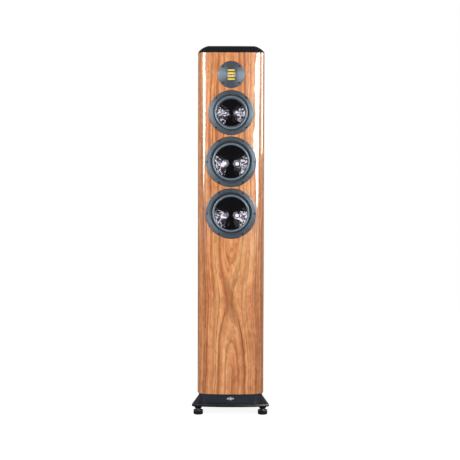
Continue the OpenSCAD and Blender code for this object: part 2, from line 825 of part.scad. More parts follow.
front_baffle();
side_panel(-1);  // side_panel_left
side_panel(1);  // side_panel_right
rear_panel();
top_panel();
bottom_panel();
cabinet_braces();
mid_chamber_wall();
damping_wool();
top_cap();
plinth();
plinth_badge();
base_plate();
base_bolts();
foot_collars();
foot_pad(0);  // foot_pad_front_left
foot_pad(1);  // foot_pad_front_right
foot_pad(2);  // foot_pad_rear_left
foot_pad(3);  // foot_pad_rear_right
foot_stud(0);  // foot_stud_front_left
foot_stud(1);  // foot_stud_front_right
foot_stud(2);  // foot_stud_rear_left
foot_stud(3);  // foot_stud_rear_right
at_lower_woofer() woofer_basket();  // lower_woofer_basket
at_lower_woofer() surround(WOOFER);  // lower_woofer_surround
at_lower_woofer() cone(WOOFER);  // lower_woofer_cone
at_lower_woofer() spider(WOOFER);  // lower_woofer_spider
at_lower_woofer() coil(WOOFER);  // lower_woofer_coil
at_lower_woofer() magnet(WOOFER);  // lower_woofer_magnet
at_upper_woofer() woofer_basket();  // upper_woofer_basket
at_upper_woofer() surround(WOOFER);  // upper_woofer_surround
at_upper_woofer() cone(WOOFER);  // upper_woofer_cone
at_upper_woofer() spider(WOOFER);  // upper_woofer_spider
at_upper_woofer() coil(WOOFER);  // upper_woofer_coil
at_upper_woofer() magnet(WOOFER);  // upper_woofer_magnet
at_midrange() midrange_basket();
at_midrange() surround(MIDRANGE);  // midrange_surround
at_midrange() cone(MIDRANGE);  // midrange_cone
at_midrange() spider(MIDRANGE);  // midrange_spider
at_midrange() coil(MIDRANGE);  // midrange_coil
at_midrange() magnet(MIDRANGE);  // midrange_magnet
tweeter_faceplate();
tweeter_diaphragm();
tweeter_magnet();
mounting_screws();
port_tubes();
terminal_plate();
post_studs();
jumper_links();
post_washer(0);  // post_washer_1
post_washer(1);  // post_washer_2
post_washer(2);  // post_washer_3
post_washer(3);  // post_washer_4
post_knob(0);  // post_knob_1
post_knob(1);  // post_knob_2
post_knob(2);  // post_knob_3
post_knob(3);  // post_knob_4
crossover_board();
crossover_parts();
internal_wiring();
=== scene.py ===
"""The looks of the floorstanding speaker: finishes, fine pieces, studio light and camera.

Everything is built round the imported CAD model, in its frame and in metres: +Z is up, the front faces -Y."""

import json
import math
import random

import bmesh
import bpy
import numpy as np
from mathutils import Euler, Matrix, Vector


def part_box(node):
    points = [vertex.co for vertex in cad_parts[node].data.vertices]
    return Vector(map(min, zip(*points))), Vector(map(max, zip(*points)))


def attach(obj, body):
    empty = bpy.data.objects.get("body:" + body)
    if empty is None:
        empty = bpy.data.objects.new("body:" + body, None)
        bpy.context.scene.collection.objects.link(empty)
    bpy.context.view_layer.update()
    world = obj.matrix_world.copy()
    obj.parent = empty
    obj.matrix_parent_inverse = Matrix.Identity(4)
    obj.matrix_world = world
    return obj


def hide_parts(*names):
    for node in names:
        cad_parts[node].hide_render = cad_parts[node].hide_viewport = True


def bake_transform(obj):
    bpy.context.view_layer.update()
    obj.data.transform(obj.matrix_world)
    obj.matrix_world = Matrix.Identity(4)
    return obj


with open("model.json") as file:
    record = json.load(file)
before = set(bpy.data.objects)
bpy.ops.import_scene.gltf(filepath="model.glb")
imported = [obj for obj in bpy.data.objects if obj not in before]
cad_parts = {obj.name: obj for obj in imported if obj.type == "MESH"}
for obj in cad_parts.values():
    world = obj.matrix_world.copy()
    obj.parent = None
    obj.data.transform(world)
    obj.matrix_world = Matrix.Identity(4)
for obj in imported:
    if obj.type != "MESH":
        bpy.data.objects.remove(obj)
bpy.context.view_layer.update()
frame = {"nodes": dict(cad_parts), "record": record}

NODES = frame["nodes"]

# --------------------------------------------- the cabinet's own frame and the drivers, as in the CAD source
LEAN = math.radians(3)
BAFFLE_Y = -0.15385
CABINET_Z = 0.0698
IN_CABINET = Matrix.Translation((0, BAFFLE_Y, CABINET_Z)) @ Matrix.Rotation(-LEAN, 4, "X")

# how far the front of each driver's flange lies behind the baffle's face
DRIVER_SETBACK = 0.0015

# each driver's height on the baffle, the thickness of its flange, the radii at which its surround meets the
# frame (ring) and the cone, the radius of its coil, and the level of its basket's floor behind the flange's seat
WOOFER = dict(frame_t=0.0075, ring_r=0.0704, cone_r=0.0594, coil_r=0.019, floor_z=-0.052)
DRIVERS = {
    "lower_woofer": dict(height=0.630, **WOOFER),
    "upper_woofer": dict(height=0.809, **WOOFER),
    "midrange": dict(height=0.979, frame_t=0.0065, ring_r=0.0615, cone_r=0.0495, coil_r=0.014,
                     floor_z=-0.044),
}


def driver_frame(height, thickness):
    """The frame of a driver: its origin is where the flange seats, and +Z points out of the baffle."""
    place = Matrix.Translation((0, DRIVER_SETBACK + thickness, height))
    return IN_CABINET @ place @ Matrix.Rotation(math.radians(90), 4, "X")


def srgb(r, g, b):
    """A colour given as 0-255 screen values, as the linear RGBA that a shader takes."""
    def linear(v):
        v /= 255
        return v / 12.92 if v <= 0.04045 else ((v + 0.055) / 1.055) ** 2.4
    return (linear(r), linear(g), linear(b), 1.0)


# ------------------------------------------------------------------------------------------------- materials
# the fine grain of plain finishes, in grains to a metre, and how deep every bump is
FINE_GRAIN = 900.0
BUMP_DEPTH = 0.0002


class Finish:
    """A material under construction: a Principled shader and the nodes that feed it."""

    def __init__(self, name, **uniform):
        self.material = bpy.data.materials.new(name)
        self.material.use_nodes = True
        self.tree = self.material.node_tree
        self.shader = self.tree.nodes["Principled BSDF"]
        for key, value in uniform.items():
            self.shader.inputs[key.replace("_", " ")].default_value = value

    def node(self, kind, settings=None, **inputs):
        made = self.tree.nodes.new(kind)
        for key, value in (settings or {}).items():
            setattr(made, key, value)
        for key, value in inputs.items():
            self.feed(made, int(key[1:]) if key[1:].isdigit() else key.replace("_", " "), value)
        return made

    def feed(self, made, key, value):
        socket = made.inputs[key]
        if isinstance(value, bpy.types.NodeSocket):
            self.tree.links.new(value, socket)
        else:
            socket.default_value = value

    def math(self, operation, a, b=0.0):
        return self.node("ShaderNodeMath", {"operation": operation}, i0=a, i1=b).outputs[0]

    def plus(self, a, b):
        return self.math("ADD", a, b)

    def times(self, a, b):
        return self.math("MULTIPLY", a, b)

    def mix(self, factor, a, b, blend="MIX"):
        made = self.node("ShaderNodeMix", {"data_type": "RGBA", "blend_type": blend})
        self.feed(made, 0, factor)
        self.feed(made, 6, a)
        self.feed(made, 7, b)
        return made.outputs[2]

    def position(self, place=(0, 0, 0), turn=(0, 0, 0)):
        """The point on the object in its own frame, moved and turned back by place and turn."""
        where = self.node("ShaderNodeTexCoord").outputs["Object"]
        back = self.node("ShaderNodeMapping", {"vector_type": "TEXTURE"}, Vector=where, Location=place,
                         Rotation=turn)
        return back.outputs[0]

    def noise(self, vector, scale, detail=3.0, roughness=0.5, distortion=0.0):
        made = self.node("ShaderNodeTexNoise", {"normalize": True}, Vector=vector, Scale=scale, Detail=detail,
                         Roughness=roughness, Distortion=distortion)
        return made.outputs["Fac"]

    def ramp(self, value, *stops):
        """Maps a value to colours or grey levels: stops are (position, colour)."""
        made = self.node("ShaderNodeValToRGB", None, Fac=value)
        ends = made.color_ramp.elements
        while len(ends) < len(stops):
            ends.new(0.5)
        for element, (position, colour) in zip(ends, stops):
            element.position = position
            element.color = colour if isinstance(colour, tuple) else (colour, colour, colour, 1)
        return made.outputs[0]

    def range(self, value, low, high, to_low, to_high):
        made = self.node("ShaderNodeMapRange", None, Value=value, From_Min=low, From_Max=high, To_Min=to_low,
                         To_Max=to_high)
        return made.outputs[0]

    def bump(self, height, strength):
        made = self.node("ShaderNodeBump", None, Strength=strength, Distance=BUMP_DEPTH, Height=height)
        return made.outputs[0]

    def set(self, **inputs):
        for key, value in inputs.items():
            self.feed(self.shader, key.replace("_", " "), value)
        return self


def shades(colour, darker, lighter):
    """A colour made darker and lighter by these factors."""
    dark = tuple(c * darker for c in colour[:3]) + (1,)
    light = tuple(min(1, c * lighter) for c in colour[:3]) + (1,)
    return dark, light


def speckled(name, colour, spread, scale, roughness, rough_spread=0.12, bump=0.15, **uniform):
    """A plain moulded, cast or coated finish: colour and gloss that vary a little, with a fine grain."""
    made = Finish(name, **uniform)
    where = made.position()
    broad = made.noise(where, scale, 4.0, 0.6)
    fine = made.noise(where, FINE_GRAIN, 3.0, 0.6)
    half = rough_spread / 2
    made.set(Base_Color=made.mix(broad, *shades(colour, 1 - spread, 1 + spread)))
    made.set(Roughness=made.range(broad, 0.25, 0.75, roughness - half, roughness + half))
    made.set(Normal=made.bump(fine, bump))
    return made.material


def warm(level):
    """A light level as a colour to multiply wood by: darker wood is also redder."""
    return (level, level ** 1.35, level ** 1.6, 1)


# the veneer's grain: tones from dark to light, cloudy figure, open pores, and the redder tint near the foot
WOOD_TONES = [(0.34, srgb(156, 86, 54)), (0.42, srgb(212, 130, 80)), (0.50, srgb(240, 162, 104)),
              (0.58, srgb(255, 186, 122)), (0.67, srgb(255, 214, 150))]
FIGURE_TONES = [(0.34, warm(0.84)), (0.5, 1.0), (0.66, warm(1.13))]
PORE_COLOUR = srgb(120, 66, 40)
FOOT_TINT = (0.95, 0.91, 0.96, 1)

# the crown of the growth rings: its height in the cabinet, its reach up and down, how far it bends them
CROWN_HEIGHT = 0.33
CROWN_REACH = 0.17
CROWN_BEND = 0.046

# how far the rings wander sideways in long and in short waves
LONG_WAVES = 0.030
SHORT_WAVES = 0.0065

# the width of wood that the ring chart covers. In the chart: share of that width, how light the wood is
CHART_WIDTH = 0.16
RING_CHART = [
    (0.00, 0.96), (0.12, 1.05), (0.155, 0.76), (0.17, 1.0), (0.24, 1.04), (0.31, 0.62), (0.325, 0.98),
    (0.37, 1.08), (0.40, 0.72), (0.42, 1.02), (0.47, 0.76), (0.49, 1.0), (0.56, 1.10), (0.585, 0.58),
    (0.60, 0.96), (0.655, 0.62), (0.67, 1.02), (0.71, 0.70), (0.73, 1.12), (0.80, 0.96), (0.88, 1.08),
    (1.0, 0.9),
]


def stretched_noise(made, local, scale, *settings):
    """Noise in the wood's frame with its own scale along each axis. settings go on with its detail."""
    stretched = made.node("ShaderNodeVectorMath", {"operation": "MULTIPLY"}, i0=local, i1=scale)
    return made.noise(stretched.outputs[0], 1.0, *settings)


def centred(made, value, amount):
    """A value that varies round 0.5, as a shift that varies round 0 by this amount."""
    return made.times(made.math("SUBTRACT", value, 0.5), amount)


def growth_rings(made, local):
    """How far a point is across the rings, a small step that sets the two sides apart, and its height."""
    x, depth, height = made.node("ShaderNodeSeparateXYZ", None, Vector=local).outputs
    long_waves = centred(made, stretched_noise(made, local, (7, 7, 2.4), 1.0), LONG_WAVES)
    short_waves = centred(made, stretched_noise(made, local, (40, 40, 22), 3.0), SHORT_WAVES)
    x = made.plus(x, made.plus(long_waves, short_waves))
    from_crown = made.times(made.math("SUBTRACT", height, CROWN_HEIGHT), 1 / CROWN_REACH)
    bell = made.math("POWER", math.e, made.times(made.times(from_crown, from_crown), -1.0))
    bend = made.times(bell, CROWN_BEND)
    across = made.plus(made.math("ABSOLUTE", x), depth)
    ring = made.math("SQRT", made.plus(made.times(across, across), made.times(bend, bend)))
    side = made.times(made.math("TANH", made.times(x, 60.0)), 0.008)
    return ring, side, height


def walnut():
    """Crown-cut walnut veneer under clear gloss lacquer. The rings bend round a crown low on the front."""
    made = Finish("walnut_veneer", Coat_Weight=1.0, Coat_Roughness=0.03, Coat_IOR=1.5, IOR=1.45,
                  Specular_IOR_Level=0.2)
    local = made.position(place=(0, BAFFLE_Y, CABINET_Z), turn=(-LEAN, 0, 0))
    ring, side, height = growth_rings(made, local)

    def along(run):
        return made.node("ShaderNodeCombineXYZ", None, X=ring, Y=side, Z=made.times(height, run)).outputs[0]

    broad = made.noise(along(0.03), 48.0, 2.0, 0.5)
    bands = made.noise(along(0.02), 165.0, 3.0, 0.62)
    lines = made.noise(along(0.012), 560.0, 3.0, 0.65)
    tone = made.plus(made.times(broad, 0.32), made.plus(made.times(bands, 0.38), made.times(lines, 0.30)))
    colour = made.ramp(tone, *WOOD_TONES)
    share = made.plus(made.times(ring, 1 / CHART_WIDTH), centred(made, broad, 0.16))
    chart = made.ramp(share, *[(place, warm(level)) for place, level in RING_CHART])
    colour = made.mix(1.0, colour, chart, "MULTIPLY")
    figure = made.ramp(stretched_noise(made, local, (62, 62, 24), 3.0, 0.6, 1.2), *FIGURE_TONES)
    colour = made.mix(1.0, colour, figure, "MULTIPLY")
    pores = made.range(stretched_noise(made, local, (1300, 1300, 45), 2.0), 0.60, 0.70, 0.0, 0.5)
    colour = made.mix(pores, colour, PORE_COLOUR)
    near_foot = made.range(height, 0.15, 0.55, 1.0, 0.0)
    colour = made.mix(near_foot, colour, made.mix(1.0, colour, FOOT_TINT, "MULTIPLY"))
    made.set(Base_Color=colour, Roughness=0.42)
    made.set(Normal=made.bump(lines, 0.05))
    return made.material


def turned(name, colour, roughness):
    """Anodised metal with a fine turned finish: the gloss stretches round the part's axis."""
    made = Finish(name, Metallic=0.75, Anisotropic=0.55, Anisotropic_Rotation=0.25)
    where = made.position()
    broad = made.noise(where, 70.0, 4.0, 0.6)
    fine = made.noise(where, 1500.0, 2.0, 0.6)
    made.set(Base_Color=made.mix(broad, *shades(colour, 0.86, 1.12)))
    made.set(Roughness=made.range(broad, 0.2, 0.8, roughness - 0.05, roughness + 0.05))
    made.set(Normal=made.bump(fine, 0.06))
    made.set(Tangent=made.node("ShaderNodeTangent", {"direction_type": "RADIAL", "axis": "Y"}).outputs[0])
    return made.material


def rubber():
    """Surround rubber: the glossier roll gets a painted highlight, the valley outside it painted shade."""
    made = Finish("surround_rubber", IOR=1.5)
    where = made.position()
    broad = made.noise(where, 60.0, 4.0, 0.6)
    roll = made.node("ShaderNodeAttribute", {"attribute_name": "roll"}).outputs["Fac"]
    # painted shade darkens the valley and a painted highlight lightens the roll, as the roll attribute picks
    valley_painted_shade = made.mix(broad, srgb(24, 30, 35), srgb(34, 41, 47))
    roll_painted_highlight = made.mix(broad, srgb(98, 116, 130), srgb(110, 128, 142))
    made.set(Base_Color=made.mix(roll, valley_painted_shade, roll_painted_highlight))
    made.set(Roughness=made.range(roll, 0.0, 1.0, 0.6, 0.4))
    made.set(Normal=made.bump(made.noise(where, FINE_GRAIN, 3.0, 0.6), 0.1))
    return made.material


FINISHES = {
    "walnut": walnut(),
    "raw_board": speckled("raw_board", srgb(170, 132, 92), 0.2, 300.0, 0.85),
    "wool": speckled("wool_pads", srgb(205, 204, 198), 0.15, 200.0, 0.95, bump=0.8),
    "cap_black": speckled("cap_satin_black", srgb(28, 31, 34), 0.06, 30.0, 0.42, bump=0.03, IOR=1.3),
    # the plinth's blue-grey is partly its own colour and partly a painted reflection of the bright studio
    "plinth_lacquer": speckled("plinth_blue_black_painted_reflection", srgb(40, 47, 58), 0.05, 20.0, 0.35, bump=0.03),
    "badge_white": speckled("badge_print", srgb(236, 238, 240), 0.03, 100.0, 0.5),
    "plate_black": speckled("plate_powder_black", srgb(6, 7, 9), 0.08, 80.0, 0.30, bump=0.08),
    "steel": speckled("zinc_steel", srgb(170, 172, 175), 0.08, 120.0, 0.32, Metallic=1.0),
    "foot_black": speckled("foot_black", srgb(9, 10, 13), 0.1, 80.0, 0.4),
    "driver_frame": turned("turned_slate", srgb(94, 104, 113), 0.42),
    "surround_rubber": rubber(),
    "cone_black": speckled("crystal_black", srgb(7, 6, 9), 0.05, 40.0, 0.07, 0.02, bump=0.0, IOR=1.44,
                           Specular_Tint=(0.9, 0.86, 1.0, 1)),
    "spider_cloth": speckled("spider_cloth", srgb(205, 168, 96), 0.1, 400.0, 0.9, bump=0.5),
    "copper": speckled("copper_wire", srgb(190, 110, 70), 0.1, 300.0, 0.3, Metallic=1.0),
    "magnet": speckled("ferrite", srgb(44, 44, 46), 0.1, 150.0, 0.6),
    # the foil's faint glow is painted light that makes up for the shade in the slots it sits behind
    "gold_foil": speckled("gold_foil", srgb(255, 240, 130), 0.04, 100.0, 0.45,
                          Emission_Color=srgb(255, 232, 120), Emission_Strength=0.18),
    "screw_black": speckled("screw_black", srgb(14, 15, 17), 0.08, 200.0, 0.3),
    "port_black": speckled("port_black", srgb(18, 18, 19), 0.08, 120.0, 0.5),
    "gold_plate": speckled("gold_plate", srgb(232, 184, 84), 0.06, 150.0, 0.2, Metallic=1.0),
    "knob_black": speckled("knob_black", srgb(16, 16, 17), 0.08, 120.0, 0.35),
    "knob_red": speckled("knob_red", srgb(150, 16, 18), 0.08, 120.0, 0.3),
    "board_green": speckled("board_green", srgb(30, 84, 52), 0.08, 200.0, 0.4),
    "component_mix": speckled("component_mix", srgb(160, 70, 40), 0.2, 60.0, 0.4),
    "wire_sleeve": speckled("wire_sleeve", srgb(150, 28, 26), 0.1, 80.0, 0.45),
}


def dress_cad():
    """Gives every CAD node the finish of its own material slot."""
    for part in frame["record"]["subparts"]:
        mesh = NODES[part["node"]].data
        mesh.materials.clear()
        mesh.materials.append(FINISHES[part["material_slot"]])


dress_cad()

# ---------------------------------------------------------------------------------------------- mesh helpers
def add_piece(name, vertices, faces, slot, body, replaces, place, smooth=True, angle=None):
    """Makes one mesh piece in world coordinates with the finish of a slot, and lets it ride on a body."""
    mesh = bpy.data.meshes.new(name)
    mesh.from_pydata([place @ Vector(v) for v in vertices], [], faces)
    mesh.validate()
    mesh.update()
    piece = bpy.data.objects.new(name, mesh)
    bpy.context.scene.collection.objects.link(piece)
    mesh.materials.append(FINISHES[slot])
    mesh.polygons.foreach_set("use_smooth", [smooth] * len(mesh.polygons))
    if angle:
        mesh.set_sharp_from_angle(angle=math.radians(angle))
    if body:
        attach(piece, body)
    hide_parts(*replaces)
    return piece


def lathe(profile, segments):
    """Turns a closed profile of (radius, z) round the Z axis. The profile runs counter-clockwise."""
    vertices = []
    for radius, z in profile:
        for k in range(segments):
            a = 2 * math.pi * k / segments
            vertices.append((radius * math.cos(a), radius * math.sin(a), z))
    faces = []
    for row in range(len(profile)):
        low, high = row * segments, (row + 1) % len(profile) * segments
        for k in range(segments):
            m = (k + 1) % segments
            faces.append([low + k, low + m, high + m, high + k])
    return vertices, faces


def clip(polygon, a, gx, gy):
    """The part of a convex polygon where a + gx x + gy y is not negative."""
    kept = []
    for (x0, y0), (x1, y1) in zip(polygon, polygon[1:] + polygon[:1]):
        d0, d1 = a + gx * x0 + gy * y0, a + gx * x1 + gy * y1
        if d0 >= 0:
            kept.append((x0, y0))
        if (d0 > 0 > d1) or (d0 < 0 < d1):
            t = d0 / (d0 - d1)
            kept.append((x0 + t * (x1 - x0), y0 + t * (y1 - y0)))
    return kept


# slope at the centre of a dish, slope at its rim, and how late the slope grows
WOOFER_BOWL = (math.tan(math.radians(20)), math.tan(math.radians(37)), 2.2)
MIDRANGE_BOWL = (math.tan(math.radians(14)), math.tan(math.radians(37)), 1.2)

# the flat middle of a dish: the radius at whose level it lies, and how high its point stands
CENTRE_FLAT = 0.007
CENTRE_CUT = 0.0002

# points round a dish's edge, and steps in a metre of the grid on which two corners count as one
EDGE_POINTS = 120
WELD_GRID = 2e5


def dish_slope(share, bowl):
    """How steep the dish is at a share of its rim radius."""
    centre, rim, growth = bowl
    return centre + (rim - centre) * share ** growth


def dish_z(radius, rim, bowl):
    """The height of the dish's surface under its rim, at a radius."""
    share = radius / rim
    centre, steep, growth = bowl
    return -rim * (centre * (1 - share) + (steep - centre) * (1 - share ** (growth + 1)) / (growth + 1))


def facet_planes(rim, bowl, rings, seed):
    """The plane of each facet: height at the axis, slope in x and y, its site's x and y, cut and core."""
    draw = random.Random(seed)
    planes = [(dish_z(CENTRE_FLAT, rim, bowl), 0.0, 0.0, 0.0, 0.0, CENTRE_CUT, 0)]
    for radius, count, phase, tilt, depth, core in rings:
        slope = dish_slope(radius / rim, bowl)
        for k in range(count):
            a = math.radians(phase + 360 * k / count)
            x, y = radius * math.cos(a), radius * math.sin(a)
            gx = slope * math.cos(a) + draw.uniform(-tilt, tilt)
            gy = slope * math.sin(a) + draw.uniform(-tilt, tilt)
            cut = depth if core else depth * draw.choice((-1, 1)) * draw.uniform(0.4, 1.0)
            planes.append((dish_z(radius, rim, bowl) - gx * x - gy * y, gx, gy, x, y, cut, core))
    return planes


def facet_outline(planes, i, edge):
    """Where one facet's plane is the highest of all, as a polygon inside the dish's edge."""
    a, gx, gy = planes[i][:3]
    cell = edge
    for j, (b, hx, hy, *_) in enumerate(planes):
        if i != j:
            cell = clip(cell, a - b, gx - hx, gy - hy)
        if len(cell) < 3:
            return []
    return cell


def crystal_dish(rim, bowl, rings, seed):
    """A shallow dish pressed from flat facets, each cut like a gem.

    The dish is the upper hull of the planes that touch its curve at each facet's site. Every facet is then
    cut again: a flat core, or a point where the core is 0, is raised or sunk a little, with a bevel to each
    edge. rings are (radius, count, phase in degrees, tilt, cut depth, core), and the tilt is how far a facet
    may lean at random."""
    planes = facet_planes(rim, bowl, rings, seed)
    turns = [2 * math.pi * k / EDGE_POINTS for k in range(EDGE_POINTS)]
    edge = [(rim * math.cos(turn), rim * math.sin(turn)) for turn in turns]
    vertices, faces, index = [], [], {}
    for i, (a, gx, gy, site_x, site_y, cut, core) in enumerate(planes):
        corners = []
        for x, y in facet_outline(planes, i, edge):
            key = (round(x * WELD_GRID), round(y * WELD_GRID))
            if key not in index:
                index[key] = len(vertices)
                vertices.append((x, y, a + gx * x + gy * y))
            if index[key] not in corners:
                corners.append(index[key])
        if len(corners) > 2:
            site = (site_x, site_y, a + gx * site_x + gy * site_y) if core else None
            faces += gem_cut(vertices, corners, site, cut, core)
    return vertices, faces


def gem_cut(vertices, corners, site, cut, core):
    """The faces of one cut facet: a flat core round its site, or a point over its middle, and bevels."""
    middle = list(site) if site else [sum(vertices[c][k] for c in corners) / len(corners) for k in range(3)]
    middle[2] += cut
    pairs = list(zip(corners, corners[1:] + corners[:1]))
    first = len(vertices)
    if not core:
        vertices.append(tuple(middle))
        return [[a, b, first] for a, b in pairs]
    for c in corners:
        x, y, z = vertices[c]
        vertices.append((middle[0] + (x - middle[0]) * core, middle[1] + (y - middle[1]) * core,
                         middle[2] + (z + cut - middle[2]) * core))
    inner = list(range(first, first + len(corners)))
    faces = [[a, b, inner[(k + 1) % len(inner)], inner[k]] for k, (a, b) in enumerate(pairs)]
    return faces + [inner]


# the thickness of the cone's shell
DISH_T = 0.0009


def make_dish(name, d, rim, bowl, rings, place):
    """The faceted cone as a closed shell: facets in front, a flat rim to glue to, the same shape behind."""
    vertices, faces = crystal_dish(rim, bowl, rings, len(name))
    on_rim = [i for i, (x, y, z) in enumerate(vertices) if math.hypot(x, y) > rim * 0.999]
    on_rim.sort(key=lambda i: math.atan2(vertices[i][1], vertices[i][0]))
    outer = []
    for i in on_rim:
        x, y, z = vertices[i]
        stretch = d["cone_r"] / math.hypot(x, y)
        outer.append(len(vertices))
        vertices.append((x * stretch, y * stretch, 0.0))
    for k in range(len(on_rim)):
        m = (k + 1) % len(on_rim)
        faces.append([on_rim[k], outer[k], outer[m], on_rim[m]])
    count = len(vertices)
    vertices += [(x, y, z - DISH_T) for x, y, z in vertices]
    faces += [[v + count for v in reversed(face)] for face in faces]
    for k in range(len(outer)):
        m = (k + 1) % len(outer)
        faces.append([outer[k], outer[k] + count, outer[m] + count, outer[m]])
    add_piece(name + "_crystal_cone", vertices, faces, "cone_black", name + "_moving", [name + "_cone"],
              place, smooth=False)


def arc(cx, cz, radius, start, end, steps):
    """Points on a circle's arc, with the angles in degrees."""
    turns = [math.radians(start + (end - start) * k / steps) for k in range(steps + 1)]
    return [(cx + radius * math.cos(t), cz + radius * math.sin(t)) for t in turns]


def radial_blend(piece):
    """Bakes a round piece's place into its mesh."""
    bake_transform(piece)


# ----------------------------------------------------------------------------------------------- the drivers
# the rings of facets, from the middle out: radius, count, phase in degrees, tilt, cut depth, core
WOOFER_RINGS = [(0.0250, 5, -20, 0.01, -0.0008, 0.5), (0.0405, 15, 12, 0.02, 0.0006, 0),
                (0.0465, 23, 0, 0.02, 0.0006, 0), (0.0512, 28, 7, 0.02, 0.0005, 0),
                (0.0550, 33, 2, 0.02, 0.0003, 0)]
MIDRANGE_RINGS = [(0.0160, 9, 0, 0.03, 0.0006, 0), (0.0240, 15, 8, 0.03, 0.0006, 0),
                  (0.0310, 20, 3, 0.03, 0.0006, 0), (0.0370, 26, 9, 0.03, 0.0006, 0),
                  (0.0430, 30, 4, 0.03, 0.0005, 0)]

# the width of the cone's flat rim, which the surround is glued to
RIM_WIDTH = 0.0026


def make_drivers():
    for name, d in DRIVERS.items():
        place = driver_frame(d["height"], d["frame_t"])
        woofer = name != "midrange"
        rim = d["cone_r"] - RIM_WIDTH
        bowl = WOOFER_BOWL if woofer else MIDRANGE_BOWL
        make_dish(name, d, rim, bowl, WOOFER_RINGS if woofer else MIDRANGE_RINGS, place)
        make_surround(name, d, WOOFER_ROLL if woofer else MIDRANGE_ROLL, place)
        make_coil(name, d, dish_z(d["coil_r"], rim, bowl), place)
        make_spider(name, d, place)


# radius of the roll's crown, its half width, how high it stands, and the same for the valley outside it
WOOFER_ROLL = (0.0615, 0.0036, 0.0036, 0.0688, 0.0033, 0.0034)
MIDRANGE_ROLL = (0.0543, 0.0032, 0.0028, 0.0597, 0.0018, 0.0022)

# thickness of the rubber, its lift off the cone's rim, and its glued lips on the cone and on the frame
RUBBER_T = 0.0008
RUBBER_LIFT = 0.0002
CONE_LIP = 0.0022
FRAME_LIP = 0.0024


def make_surround(name, d, roll, place):
    """The rubber between cone and frame: a raised roll, a valley outside it, a flat lip on each side."""
    crown, half, rise, valley, reach, depth = roll
    line = [(d["cone_r"] - CONE_LIP, 0.0)]
    line += [(crown - half * math.cos(t), rise * math.sin(t)) for t in np.linspace(0, math.pi, 21)]
    line += [(valley - reach * math.cos(t), -depth * math.sin(t)) for t in np.linspace(0, math.pi, 13)]
    line += [(d["ring_r"] + FRAME_LIP, 0.0)]
    profile = [(r, z + RUBBER_LIFT) for r, z in line]
    profile += [(r, z + RUBBER_LIFT + RUBBER_T) for r, z in reversed(line)]
    vertices, faces = lathe(profile, 160)
    piece = add_piece(name + "_roll_surround", vertices, faces, "surround_rubber", None,
                      [name + "_surround"], place, angle=50)
    # the roll attribute is 1 where the rubber gets its painted highlight and 0 where it gets painted shade
    painted_light_attribute = piece.data.attributes.new("roll", "FLOAT", "POINT")
    painted_highlight_mask = [abs(math.hypot(x, y) - crown) < half * 0.97 for x, y, z in vertices]
    painted_light_attribute.data.foreach_set("value", [float(value) for value in painted_highlight_mask])
    radial_blend(piece)


# the spider: waves across it, their height, its thickness, the width of the basket's ledge under its edge,
# how far down the basket it sits, and its play at the coil and at the basket's wall
SPIDER_WAVES = 4
SPIDER_AMP = 0.0013
SPIDER_T = 0.0006
SPIDER_LEDGE = 0.006
SPIDER_DEPTH = 0.66
COIL_PLAY = 0.0001
WALL_PLAY = 0.0002


def make_spider(name, d, place):
    """The corrugated cloth that centres the coil, glued to the former and to the basket's ledge."""
    z = d["floor_z"] * SPIDER_DEPTH
    low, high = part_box(name + "_spider")
    inner, outer = d["coil_r"] + COIL_PLAY, (high[0] - low[0]) / 2 - WALL_PLAY
    run = outer - SPIDER_LEDGE - inner
    steps = 12 * SPIDER_WAVES
    line = []
    for k in range(steps + 1):
        wave = (1 - math.cos(2 * math.pi * SPIDER_WAVES * k / steps)) / 2
        line.append((inner + run * k / steps, SPIDER_AMP * wave))
    line.append((outer, 0.0))
    profile = [(r, z + h) for r, h in line] + [(r, z + h + SPIDER_T) for r, h in reversed(line)]
    vertices, faces = lathe(profile, 96)
    piece = add_piece(name + "_corrugated_spider", vertices, faces, "spider_cloth", None, [name + "_spider"],
                      place)
    radial_blend(piece)


# the voice coil: its former's thickness and gap behind the dish, the winding's height and turns, and how far
# the winding reaches in front of the basket's floor
FORMER_T = 0.0003
FORMER_GAP = 0.0017
WINDING_H = 0.012
WINDING_TURNS = 24
WINDING_REACH = 0.003


def make_coil(name, d, dish_back, place):
    """The voice coil: a thin former glued behind the dish, with one layer of wire wound round its end."""
    radius = d["coil_r"]
    top = dish_back - FORMER_GAP
    end = d["floor_z"] - WINDING_H + WINDING_REACH
    pitch = WINDING_H / WINDING_TURNS
    wound = []
    for k in range(WINDING_TURNS):
        wound += arc(radius, end + pitch * (k + 0.5), pitch * 0.5, -80, 80, 4)
    profile = [(radius - FORMER_T, end), (radius, end)] + wound + [(radius, top), (radius - FORMER_T, top)]
    vertices, faces = lathe(profile, 72)
    add_piece(name + "_voice_coil", vertices, faces, "copper", name + "_moving", [name + "_coil"], place,
              angle=40)


make_drivers()

# -------------------------------------------------------------------------------------------- the base plate
# the chamfer's width, and how far rounding may put a point past an edge's line (length times distance)
PLATE_CHAMFER = 0.0016
OUTLINE_SLACK = 2e-8


